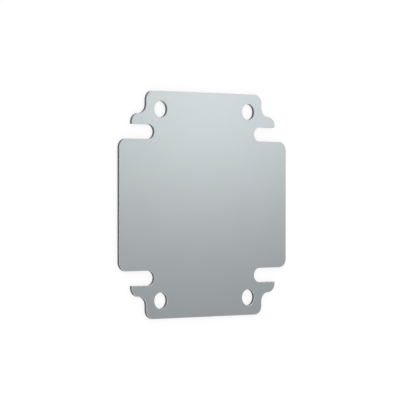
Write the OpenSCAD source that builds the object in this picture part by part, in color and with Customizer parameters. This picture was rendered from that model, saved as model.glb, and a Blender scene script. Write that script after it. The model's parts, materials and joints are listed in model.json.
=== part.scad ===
/* [Sheet] */
// Thickness of the steel sheet
sheet_t = 2; // [1:0.25:5]
// Width of the small bevel left on every edge by deburring, measured on each face
edge_break = 0.2; // [0.1:0.05:0.4]

/* [Outline] */
// Width across the two long sides
plate_w = 120; // [100:1:200]
// Height over the two tabs
plate_h = 125; // [110:1:220]
// Radius of every corner of the outline, inside and outside
corner_r = 5; // [2:0.5:5.5]
// Height of each tab above the ears beside it
tab_h = 12.5; // [11.5:0.5:25]
// Height of the ears, from the slot below them to their top edge
ear_h = 6; // [5.75:0.25:12]
// Distance of the ears' ends inside the long sides
ear_inset = 8.5; // [4:0.5:16]

/* [Slots] */
// Width of the four slots, open at the long sides
slot_w = 8; // [4:0.5:14]
// Depth of the slots, from the long side to the round end
slot_depth = 24; // [16:0.5:36]

/* [Screw holes] */
// Diameter of the four screw holes
hole_d = 9; // [4:0.1:12]
// Distance of each hole's centre from the tab's top and side edges
hole_inset = 10; // [8:0.5:14]

/* [Hidden] */
$fn = 96;

// Half extents of the plate, and the levels of its steps above the centre line
side_x = plate_w / 2;
top_y = plate_h / 2;
ear_y = top_y - tab_h;
slot_top_y = ear_y - ear_h;
slot_y = slot_top_y - slot_w / 2;
body_y = slot_top_y - slot_w;

// The neck curves straight into the ear's corner, so the two radii set the step between them
ear_x = side_x - ear_inset;
neck_x = ear_x - corner_r;
tab_x = neck_x - corner_r;

// Centres of the slots' round ends and of the screw holes
slot_end_x = side_x - slot_depth + slot_w / 2;
hole_x = tab_x - hole_inset;
hole_y = top_y - hole_inset;

// Overrun of the cutting shapes past the sheet's faces and sides
over = 1;

// Section through a strip of the sheet, from its middle to one broken edge
function half_section(reach) = [
    [0, 0],
    [reach - edge_break, 0],
    [reach, edge_break],
    [reach, sheet_t - edge_break],
    [reach - edge_break, sheet_t],
    [0, sheet_t]
];

// Section of a cut through the sheet, which flares at both faces to break its edges
function flared_section(reach) = [
    [0, -over],
    [reach + edge_break + over, -over],
    [reach, edge_break],
    [reach, sheet_t - edge_break],
    [reach + edge_break + over, sheet_t + over],
    [0, sheet_t + over]
];

// Straight bar with the given half section on both sides, laid along Y about the origin
module bar(section, length) {
    for (side = [0, 1])
        mirror([side, 0, 0])
            translate([0, length / 2, 0])
                rotate([90, 0, 0])
                    linear_extrude(length) polygon(section);
}

// Rectangle of sheet with rounded corners and broken edges, centred on the origin
module blank(half_w, half_h) {
    bar(half_section(half_w), 2 * (half_h - corner_r));
    rotate([0, 0, 90])
        bar(half_section(half_h), 2 * (half_w - corner_r));
    for (x = [-1, 1], y = [-1, 1])
        translate([x * (half_w - corner_r), y * (half_h - corner_r), 0])
            rotate_extrude() polygon(half_section(corner_r));
}

// Rounded inside corner between a tab and the ear beside it
module neck() {
    difference() {
        translate([tab_x - corner_r, ear_y - corner_r, 0])
            cube([2 * corner_r, 2 * corner_r, sheet_t]);
        translate([neck_x, ear_y + corner_r, 0])
            rotate_extrude() polygon(flared_section(corner_r));
    }
}

// Slot with a round inner end, open past the long side
module slot() {
    length = side_x + over - slot_end_x;
    translate([slot_end_x, slot_y, 0]) {
        rotate_extrude() polygon(flared_section(slot_w / 2));
        translate([length / 2, 0, 0])
            rotate([0, 0, 90])
                bar(flared_section(slot_w / 2), length);
    }
}

// Screw hole through a tab
module screw_hole() {
    translate([hole_x, hole_y, 0])
        rotate_extrude() polygon(flared_section(hole_d / 2));
}

// The whole plate lies on its back face: body, ears and tabs are one blanked piece
module mounting_plate() {
    color("lightslategray")
        difference() {
            union() {
                blank(side_x, body_y);
                blank(ear_x, ear_y);
                blank(tab_x, top_y);
                for (x = [0, 1], y = [0, 1])
                    mirror([x, 0, 0]) mirror([0, y, 0]) neck();
            }
            for (x = [0, 1], y = [0, 1])
                mirror([x, 0, 0]) mirror([0, y, 0]) {
                    slot();
                    screw_hole();
                }
        }
}

mounting_plate();
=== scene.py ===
import json
import math

import bpy
import numpy as np
from mathutils import Matrix, Vector
from mathutils.geometry import delaunay_2d_cdt


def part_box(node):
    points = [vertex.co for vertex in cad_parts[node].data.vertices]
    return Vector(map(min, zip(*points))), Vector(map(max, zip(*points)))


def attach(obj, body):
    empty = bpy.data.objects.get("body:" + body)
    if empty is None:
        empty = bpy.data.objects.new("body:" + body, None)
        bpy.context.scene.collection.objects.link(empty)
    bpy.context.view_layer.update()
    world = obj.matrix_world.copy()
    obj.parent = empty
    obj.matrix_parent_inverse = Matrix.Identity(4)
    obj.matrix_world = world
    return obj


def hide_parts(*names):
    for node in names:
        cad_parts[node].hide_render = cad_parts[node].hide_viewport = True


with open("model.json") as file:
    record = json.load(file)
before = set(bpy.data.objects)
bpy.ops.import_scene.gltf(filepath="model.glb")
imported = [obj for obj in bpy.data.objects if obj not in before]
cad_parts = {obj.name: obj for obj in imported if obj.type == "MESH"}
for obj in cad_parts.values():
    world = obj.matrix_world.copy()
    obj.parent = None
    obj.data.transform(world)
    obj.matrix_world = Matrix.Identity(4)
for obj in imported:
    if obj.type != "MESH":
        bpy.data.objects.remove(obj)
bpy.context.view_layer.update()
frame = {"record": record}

# All lengths are in metres. The plate lies on its back face, with its height along Y.

NODE = "mounting_plate"
FINISH = "zinc_plated_steel"
MM = 0.001

# Outline of the plate, beyond what the frame gives
CORNER_R = 5 * MM
TAB_H = 12.5 * MM
EAR_H = 6 * MM
EAR_INSET = 8.5 * MM
EAR_TIP_R = 0.25 * MM
RIM_R = 0.2 * MM

# Fineness of the mesh: steps in a quarter turn of the outline, round an ear's tip, over the rounded rim and
# up the wall, and the pitch of the points inside the faces
QUARTER_STEPS = 24
TIP_STEPS = 4
RIM_STEPS = 4
WALL_STEPS = 4
FACE_PITCH = 6 * MM
MERGE_DISTANCE = 1e-9

# Camera: lean of the line of sight off the front face's normal, distance to that face, and how far the face's
# centre lies from the middle of the picture
LOOK_LEAN = math.radians(39.33)
LOOK_DISTANCE = 1.1816
CENTRE_RIGHT = 2.97 * MM
CENTRE_UP = -2.67 * MM
LENS = 190.8
SENSOR = 36.0
NEAREST_SEEN = 0.01

# Studio: the floor, and the sky's strength at the horizon and above the height SKY_FADE of the unit sphere
FLOOR_SIZE = 30.0
FLOOR_COLOUR = (0.36, 0.36, 0.36)
FLOOR_GLOW = 0.75
SKY_COLOUR = (1.0, 1.0, 1.0)
SKY_HORIZON = 1.0
SKY_OVERHEAD = 0.53
SKY_FADE = 0.35

# Soft lamps, all turned to the middle of the plate: name, place, side of the square, power in watts
LAMPS = (
    ("key_lamp", (0.502, 0.115, 0.637), 0.175, 0.46),
    ("left_panel", (-0.80, -0.25, 0.50), 0.35, 0.46),
    ("back_panel", (0.15, 0.80, 0.50), 0.35, 0.46),
    ("front_panel", (-0.15, -0.80, 0.50), 0.35, 0.46),
    ("top_panel", (-0.25, 0.25, 1.25), 0.50, 0.80),
)

# Finish of the faces, of the burnished rim along every edge, whose lighter colour is a painted highlight,
# and of the cut wall's sheared and torn bands, whose dark colours carry painted shade
ZINC = (0.414, 0.448, 0.460)
ZINC_CLOUD = (0.404, 0.437, 0.449)
ZINC_ROUGH = 0.36
GRAIN_ROUGH = 0.02
# Rim colour, far lighter than the face: burnished zinc whose extra lightness is a painted highlight along
# every edge
RIM_ZINC_AND_HIGHLIGHT = (0.80, 0.83, 0.84)
RIM_ROUGH = 0.26
RIM_SHARPNESS = 8.0
# Wall colours: the sheared and torn steel tones, darkened well below bare steel as painted shade on the cut
# wall
SHEARED_STEEL_AND_SHADE = (0.192, 0.204, 0.211)
TORN_STEEL_AND_SHADE = (0.132, 0.141, 0.146)
SHEARED_ROUGH = 0.42
TORN_ROUGH = 0.58
TORN_LEVEL = 1.25 * MM
TORN_WAVER = 0.35 * MM

# Relief of the finish: its depth and strength, and how much of it the grain of the faces takes
RELIEF_DEPTH = 0.01 * MM
RELIEF_STRENGTH = 0.10
GRAIN_RELIEF = 0.3

# Noises, as waves per metre along X, Y and Z, and detail. The rolling grain runs along Y, the scores along Z.
CLOUD_NOISE = ((55, 55, 55), 4.0)
GRAIN_NOISE = ((6000, 400, 6000), 2.0)
SCORE_NOISE = ((4200, 4200, 260), 3.0)
WAVER_NOISE = ((500, 500, 0), 2.0)

# Part of the noise's range that is spread from 0 to 1
NOISE_LOW = 0.25
NOISE_HIGH = 0.75


def plate_sizes():
    """Main sizes of the plate, as distances from its centre and radii: the half extents come from the node's
    box, and the holes and slots from the record's mounts."""
    low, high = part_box(NODE)
    mounts = {m["name"]: m for m in frame["record"]["mounts"]}
    holes = mounts["screw_holes"]["dims"]
    slot_x, slot_y, _ = mounts["slot_right_upper"]["pos_m"]
    ear_y = high.y - TAB_H
    return {
        "side_x": high.x,
        "top_y": high.y,
        "sheet_t": high.z - low.z,
        "ear_x": high.x - EAR_INSET,
        "ear_y": ear_y,
        "slot_x": slot_x,
        "slot_y": slot_y,
        "slot_r": ear_y - EAR_H - slot_y,
        "hole_x": holes["spacing_x_mm"] * MM / 2,
        "hole_y": holes["spacing_y_mm"] * MM / 2,
        "hole_r": holes["hole_r_mm"] * MM,
    }


def arc(x, y, radius, start, end, steps):
    """Arc about (x, y), as rows of centre, radius, angle and bend. Its points are c + r (cos a, sin a).
    The bend is 1 where the sheet is inside the arc and -1 where it is outside. The sheet is always on the
    path's left."""
    angle = np.radians(np.linspace(start, end, steps + 1))
    bend = np.sign(end - start)
    return np.column_stack(np.broadcast_arrays(x, y, radius, angle, bend))


def outline_arcs(s):
    """The outline as arcs, whose straight stretches are the chords from each arc to the next.
    One quadrant runs from the right side up to the top edge. (x, y, a) becomes (-x, y, pi - a), read
    backwards, for the upper left quadrant, and (-x, -y, a + pi) for the lower half."""
    neck_x = s["ear_x"] - CORNER_R
    body_y = s["slot_y"] - s["slot_r"]
    tip_x = s["ear_x"] - EAR_TIP_R
    tip_y = s["slot_y"] + s["slot_r"] + EAR_TIP_R
    quadrant = np.vstack(
        [
            arc(s["side_x"] - CORNER_R, body_y - CORNER_R, CORNER_R, 0, 90, QUARTER_STEPS),
            arc(s["slot_x"], s["slot_y"], s["slot_r"], 270, 90, 2 * QUARTER_STEPS),
            arc(tip_x, tip_y, EAR_TIP_R, -90, 0, TIP_STEPS),
            arc(neck_x, s["ear_y"] - CORNER_R, CORNER_R, 0, 90, QUARTER_STEPS),
            arc(neck_x, s["ear_y"] + CORNER_R, CORNER_R, 270, 180, QUARTER_STEPS)[1:],
            arc(neck_x - 2 * CORNER_R, s["top_y"] - CORNER_R, CORNER_R, 0, 90, QUARTER_STEPS),
        ]
    )
    left = quadrant[::-1] * [-1, 1, 1, -1, 1] + [0, 0, 0, math.pi, 0]
    upper = np.vstack([quadrant, left])
    lower = upper * [-1, -1, 1, 1, 1] + [0, 0, 0, math.pi, 0]
    return np.vstack([upper, lower])


def hole_arcs(s, across, up):
    """The wall of one screw hole: a full circle run clockwise."""
    return arc(across * s["hole_x"], up * s["hole_y"], s["hole_r"], 360, 0, 4 * QUARTER_STEPS)[:-1]


def rim_profile(sheet_t):
    """Section of the sheet's edge as (inset d, height z) from the front face to the back: a quarter round of
    radius R, d = R (1 - cos p) and z = t - R + R sin p for p from 90 to 0 degrees, the straight wall at
    d = 0, and the same round below."""
    turn = np.radians(np.linspace(90, 0, RIM_STEPS + 1))
    inset = RIM_R * (1 - np.cos(turn))
    lift = RIM_R * np.sin(turn)
    wall_z = np.linspace(sheet_t - RIM_R, RIM_R, WALL_STEPS + 1)[1:-1]
    front = np.column_stack([inset, sheet_t - RIM_R + lift])
    wall = np.column_stack([np.zeros_like(wall_z), wall_z])
    back = np.column_stack([inset, RIM_R - lift])[::-1]
    return np.vstack([front, wall, back])


def rim_points(arcs, profile):
    """The section carried round a closed path: each point is c + (r - bend d) (cos a, sin a), at height z.
    The result has one row for each step of the section, and one column for each step of the path."""
    x, y, radius, angle, bend = arcs.T
    reach = radius - bend * profile[:, :1]
    height = np.broadcast_to(profile[:, 1:], reach.shape)
    return np.stack([x + reach * np.cos(angle), y + reach * np.sin(angle), height], axis=2)


def rim_quads(rows, columns):
    """Quads of a closed band of rows by columns points, facing out of the sheet."""
    top = np.arange(rows - 1)[:, None] * columns + np.arange(columns)
    after = np.roll(top, -1, axis=1)
    return np.stack([top, top + columns, after + columns, after], axis=2).reshape(-1, 4)


def face_net(loops, s):
    """Delaunay triangles of the flat face that lies inside the first loop and outside the others, with inner
    points on a square grid. Returns the inner points, and triangles that count the loops' points first."""
    border = np.vstack(loops)
    first = np.cumsum([0] + [len(loop) for loop in loops])
    edges = [
        (start + i, start + (i + 1) % (end - start))
        for start, end in zip(first[:-1], first[1:])
        for i in range(end - start)
    ]
    across = np.arange(-s["side_x"], s["side_x"], FACE_PITCH)
    up = np.arange(-s["top_y"], s["top_y"], FACE_PITCH)
    grid = np.stack(np.meshgrid(across, up), axis=2).reshape(-1, 2)
    gap = np.linalg.norm(grid[:, None] - border[None], axis=2).min(axis=1)
    points = np.vstack([border, grid[gap > FACE_PITCH / 2]])
    net = delaunay_2d_cdt([Vector(p) for p in points], edges, [], 1, MERGE_DISTANCE)
    source = np.array([origins[0] for origins in net[3]])
    triangles = source[np.array(net[2])]
    middle = points[triangles].mean(axis=1)
    holes = np.array([loop.mean(axis=0) for loop in loops[1:]])
    to_hole = np.linalg.norm(middle[:, None] - holes[None], axis=2).min(axis=1)
    triangles = triangles[to_hole > s["hole_r"] + RIM_R]
    used = np.unique(triangles[triangles >= len(border)])
    renumber = np.arange(len(points))
    renumber[used] = len(border) + np.arange(len(used))
    return points[used], renumber[triangles]


def plate_mesh():
    """The whole sheet as one closed mesh: bands carry the edge's section round the outline and the holes, and
    two flat nets close the faces. The attribute cut is 1 - d / R, which is 0 on the faces, rises over the
    rims and is 1 on the wall."""
    s = plate_sizes()
    profile = rim_profile(s["sheet_t"])
    rows = len(profile)
    paths = [outline_arcs(s)] + [hole_arcs(s, across, up) for across in (-1, 1) for up in (-1, 1)]
    bands = [rim_points(path, profile) for path in paths]
    starts = np.cumsum([0] + [rows * len(path) for path in paths])
    quads = np.vstack([rim_quads(rows, len(path)) + start for path, start in zip(paths, starts)])

    inner, net = face_net([band[0, :, :2] for band in bands], s)
    border_front = [start + np.arange(len(path)) for path, start in zip(paths, starts)]
    border_back = [line + (rows - 1) * len(line) for line in border_front]
    inner_front = starts[-1] + np.arange(len(inner))
    front = np.concatenate([*border_front, inner_front])[net]
    back = np.concatenate([*border_back, inner_front + len(inner)])[net[:, ::-1]]

    points = np.vstack(
        [band.reshape(-1, 3) for band in bands]
        + [np.column_stack([inner, np.full(len(inner), height)]) for height in (s["sheet_t"], 0.0)]
    )
    mesh = bpy.data.meshes.new("plate")
    mesh.from_pydata(points.tolist(), [], quads.tolist() + front.tolist() + back.tolist())
    smooth = np.zeros(len(mesh.polygons), bool)
    smooth[: len(quads)] = True
    mesh.polygons.foreach_set("use_smooth", smooth)
    cut = np.zeros(len(points), np.float32)
    share = 1 - profile[:, 0] / RIM_R
    cut[: starts[-1]] = np.concatenate([np.repeat(share, len(path)) for path in paths])
    mesh.attributes.new("cut", "FLOAT", "POINT").data.foreach_set("value", cut)
    mesh.update()
    return mesh


def new_nodes(material):
    """A material's node tree, emptied, with its output node."""
    material.use_nodes = True
    tree = material.node_tree
    tree.nodes.clear()
    return tree, tree.nodes.new("ShaderNodeOutputMaterial")


def stretched_noise():
    """Group: noise on Object coordinates, with its own scale along each axis, as a value from Low to High."""
    group = bpy.data.node_groups.new("stretched_noise", "ShaderNodeTree")
    group.interface.new_socket("Scale", in_out="INPUT", socket_type="NodeSocketVector")
    for name in ("Detail", "Low", "High"):
        group.interface.new_socket(name, in_out="INPUT", socket_type="NodeSocketFloat")
    group.interface.new_socket("Value", in_out="OUTPUT", socket_type="NodeSocketFloat")
    nodes, link = group.nodes, group.links.new
    inputs = nodes.new("NodeGroupInput")
    place = nodes.new("ShaderNodeTexCoord")
    scaled = nodes.new("ShaderNodeVectorMath")
    scaled.operation = "MULTIPLY"
    noise = nodes.new("ShaderNodeTexNoise")
    noise.inputs["Scale"].default_value = 1.0
    spread = nodes.new("ShaderNodeMapRange")
    spread.inputs["From Min"].default_value = NOISE_LOW
    spread.inputs["From Max"].default_value = NOISE_HIGH
    output = nodes.new("NodeGroupOutput")
    link(place.outputs["Object"], scaled.inputs[0])
    link(inputs.outputs["Scale"], scaled.inputs[1])
    link(scaled.outputs["Vector"], noise.inputs["Vector"])
    link(inputs.outputs["Detail"], noise.inputs["Detail"])
    link(noise.outputs["Fac"], spread.inputs["Value"])
    link(inputs.outputs["Low"], spread.inputs["To Min"])
    link(inputs.outputs["High"], spread.inputs["To Max"])
    link(spread.outputs["Result"], output.inputs["Value"])
    return group


def noise_node(tree, group, scale, detail):
    """One use of the noise group in a material, as a value from 0 to 1. Returns its output socket."""
    node = tree.nodes.new("ShaderNodeGroup")
    node.node_tree = group
    for name, value in (("Scale", scale), ("Detail", detail), ("Low", 0.0), ("High", 1.0)):
        node.inputs[name].default_value = value
    return node.outputs["Value"]


def mix(tree, kind, factor, a, b):
    """Mixes two colours ("RGBA") or numbers ("FLOAT") by a factor socket. Returns the result's socket."""
    node = tree.nodes.new("ShaderNodeMix")
    node.data_type = kind
    sockets = [i for i in node.inputs if i.enabled]
    tree.links.new(factor, sockets[0])
    for socket, value in zip(sockets[1:], (a, b)):
        if isinstance(value, bpy.types.NodeSocket):
            tree.links.new(value, socket)
        else:
            socket.default_value = (*value, 1.0) if kind == "RGBA" else value
    return next(o for o in node.outputs if o.enabled)


def calculate(tree, operation, *values):
    """One Math node on sockets or numbers. Returns its output socket."""
    node = tree.nodes.new("ShaderNodeMath")
    node.operation = operation
    for socket, value in zip(node.inputs, values):
        if isinstance(value, bpy.types.NodeSocket):
            tree.links.new(value, socket)
        else:
            socket.default_value = value
    return node.outputs["Value"]


def torn_band(tree, waver):
    """Mask of the cut wall's lower part, where the steel tore: 1 below a wavering line near TORN_LEVEL, and 0
    above it."""
    place = tree.nodes.new("ShaderNodeTexCoord")
    split = tree.nodes.new("ShaderNodeSeparateXYZ")
    tree.links.new(place.outputs["Object"], split.inputs["Vector"])
    height = calculate(tree, "MULTIPLY_ADD", waver, TORN_WAVER, split.outputs["Z"])
    band = tree.nodes.new("ShaderNodeMapRange")
    band.interpolation_type = "SMOOTHSTEP"
    tree.links.new(height, band.inputs["Value"])
    band.inputs["From Min"].default_value = TORN_LEVEL
    band.inputs["From Max"].default_value = TORN_LEVEL + TORN_WAVER
    band.inputs["To Min"].default_value = 1.0
    band.inputs["To Max"].default_value = 0.0
    return band.outputs["Result"]


def zinc_steel():
    """Satin zinc plating with a faint cloud and rolling grain on the faces, burnished along every edge, over
    a cut wall that is sheared smooth near the front face and torn dull below. The rim's colour is lighter
    than burnished zinc, which paints a highlight along every edge, and the wall's colours are darkened as
    painted shade. The rim's mask is 1 - |2 cut - 1| ^ sharpness, which is 1 over the round and falls to 0 at
    the face and at the wall."""
    material = bpy.data.materials.new(FINISH)
    tree, output = new_nodes(material)
    link = tree.links.new
    noise = stretched_noise()
    shader = tree.nodes.new("ShaderNodeBsdfPrincipled")
    shader.inputs["Metallic"].default_value = 1.0
    attribute = tree.nodes.new("ShaderNodeAttribute")
    attribute.attribute_name = "cut"
    cut = attribute.outputs["Fac"]
    # Mask of the rim: it carries the burnished roughness and the painted highlight of the lighter rim colour
    off_middle = calculate(tree, "ABSOLUTE", calculate(tree, "MULTIPLY_ADD", cut, 2.0, -1.0))
    burnish_and_highlight = calculate(tree, "SUBTRACT", 1.0, calculate(tree, "POWER", off_middle, RIM_SHARPNESS))

    cloud = noise_node(tree, noise, *CLOUD_NOISE)
    grain = noise_node(tree, noise, *GRAIN_NOISE)
    scores = noise_node(tree, noise, *SCORE_NOISE)
    torn = torn_band(tree, noise_node(tree, noise, *WAVER_NOISE))

    face_colour = mix(tree, "RGBA", cloud, ZINC, ZINC_CLOUD)
    # The cut wall's dark colours are steel's own sheared and torn tones plus painted shade
    wall_colour_and_shade = mix(tree, "RGBA", torn, SHEARED_STEEL_AND_SHADE, TORN_STEEL_AND_SHADE)
    colour = mix(tree, "RGBA", cut, face_colour, wall_colour_and_shade)
    # The lighter rim colour paints a highlight along every edge
    link(mix(tree, "RGBA", burnish_and_highlight, colour, RIM_ZINC_AND_HIGHLIGHT), shader.inputs["Base Color"])

    face_rough = mix(tree, "FLOAT", grain, ZINC_ROUGH - GRAIN_ROUGH, ZINC_ROUGH + GRAIN_ROUGH)
    wall_rough = mix(tree, "FLOAT", torn, SHEARED_ROUGH, TORN_ROUGH)
    rough = mix(tree, "FLOAT", cut, face_rough, wall_rough)
    link(mix(tree, "FLOAT", burnish_and_highlight, rough, RIM_ROUGH), shader.inputs["Roughness"])

    bump = tree.nodes.new("ShaderNodeBump")
    bump.inputs["Strength"].default_value = RELIEF_STRENGTH
    bump.inputs["Distance"].default_value = RELIEF_DEPTH
    face_height = calculate(tree, "MULTIPLY", grain, GRAIN_RELIEF)
    link(mix(tree, "FLOAT", cut, face_height, scores), bump.inputs["Height"])
    link(bump.outputs["Normal"], shader.inputs["Normal"])
    link(shader.outputs["BSDF"], output.inputs["Surface"])
    return material


def floor_material():
    """Pale matt floor. It glows where it is seen directly, in metal or through glass, so that it comes out
    white and still takes the plate's shadow."""
    material = bpy.data.materials.new("floor_white")
    tree, output = new_nodes(material)
    link = tree.links.new
    matt = tree.nodes.new("ShaderNodeBsdfDiffuse")
    matt.inputs["Color"].default_value = (*FLOOR_COLOUR, 1.0)
    path = tree.nodes.new("ShaderNodeLightPath")
    seen = calculate(tree, "MAXIMUM", path.outputs["Is Camera Ray"], path.outputs["Is Glossy Ray"])
    seen = calculate(tree, "MAXIMUM", seen, path.outputs["Is Transmission Ray"])
    glow = tree.nodes.new("ShaderNodeEmission")
    link(calculate(tree, "MULTIPLY", seen, FLOOR_GLOW), glow.inputs["Strength"])
    both = tree.nodes.new("ShaderNodeAddShader")
    link(matt.outputs["BSDF"], both.inputs[0])
    link(glow.outputs["Emission"], both.inputs[1])
    link(both.outputs["Shader"], output.inputs["Surface"])
    return material


def add_floor():
    """Wide floor in the plane that the plate lies on."""
    half = FLOOR_SIZE / 2
    corners = [(-half, -half, 0), (half, -half, 0), (half, half, 0), (-half, half, 0)]
    mesh = bpy.data.meshes.new("floor")
    mesh.from_pydata(corners, [], [(0, 1, 2, 3)])
    mesh.materials.append(floor_material())
    floor = bpy.data.objects.new("floor", mesh)
    bpy.context.scene.collection.objects.link(floor)


def add_sky():
    """Soft light from all round: white at the horizon, falling smoothly to grey at the height SKY_FADE."""
    world = bpy.data.worlds.new("studio")
    bpy.context.scene.world = world
    world.use_nodes = True
    nodes, link = world.node_tree.nodes, world.node_tree.links.new
    nodes.clear()
    direction = nodes.new("ShaderNodeTexCoord")
    split = nodes.new("ShaderNodeSeparateXYZ")
    level = nodes.new("ShaderNodeMapRange")
    level.interpolation_type = "SMOOTHSTEP"
    level.inputs["From Max"].default_value = SKY_FADE
    level.inputs["To Min"].default_value = SKY_HORIZON
    level.inputs["To Max"].default_value = SKY_OVERHEAD
    background = nodes.new("ShaderNodeBackground")
    background.inputs["Color"].default_value = (*SKY_COLOUR, 1.0)
    output = nodes.new("ShaderNodeOutputWorld")
    link(direction.outputs["Generated"], split.inputs["Vector"])
    link(split.outputs["Z"], level.inputs["Value"])
    link(level.outputs["Result"], background.inputs["Strength"])
    link(background.outputs["Background"], output.inputs["Surface"])


def add_softbox(name, place, side, power):
    """Square soft lamp, turned to the middle of the plate."""
    light = bpy.data.lights.new(name, "AREA")
    light.shape = "SQUARE"
    light.size = side
    light.energy = power
    lamp = bpy.data.objects.new(name, light)
    lamp.location = place
    lamp.rotation_euler = (-Vector(place)).to_track_quat("-Z", "Y").to_euler()
    lamp.visible_camera = False
    bpy.context.scene.collection.objects.link(lamp)


def add_camera():
    """Camera that looks down on the front face, leaning to -X, with the plate's height up the picture."""
    back = Vector((-math.sin(LOOK_LEAN), 0, math.cos(LOOK_LEAN)))
    up = Vector((0, 1, 0))
    right = up.cross(back)
    front_centre = Vector((0, 0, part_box(NODE)[1].z))
    place = front_centre + LOOK_DISTANCE * back - CENTRE_RIGHT * right - CENTRE_UP * up
    camera = bpy.data.cameras.new("camera")
    camera.lens = LENS
    camera.sensor_width = SENSOR
    camera.clip_start = NEAREST_SEEN
    camera.clip_end = 2 * FLOOR_SIZE
    eye = bpy.data.objects.new("camera", camera)
    turn = Matrix((right, up, back)).transposed().to_4x4()
    eye.matrix_world = Matrix.Translation(place) @ turn
    bpy.context.scene.collection.objects.link(eye)
    bpy.context.scene.camera = eye


def add_plate():
    """The finished plate, in place of the plain solid."""
    plate = bpy.data.objects.new("plate", plate_mesh())
    plate.data.materials.append(zinc_steel())
    bpy.context.scene.collection.objects.link(plate)
    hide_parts(NODE)
    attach(plate, "root")


add_camera()
add_floor()
add_sky()
for lamp in LAMPS:
    add_softbox(*lamp)
add_plate()

scene = bpy.context.scene
scene.view_settings.view_transform = "Standard"
bpy.context.view_layer.update()
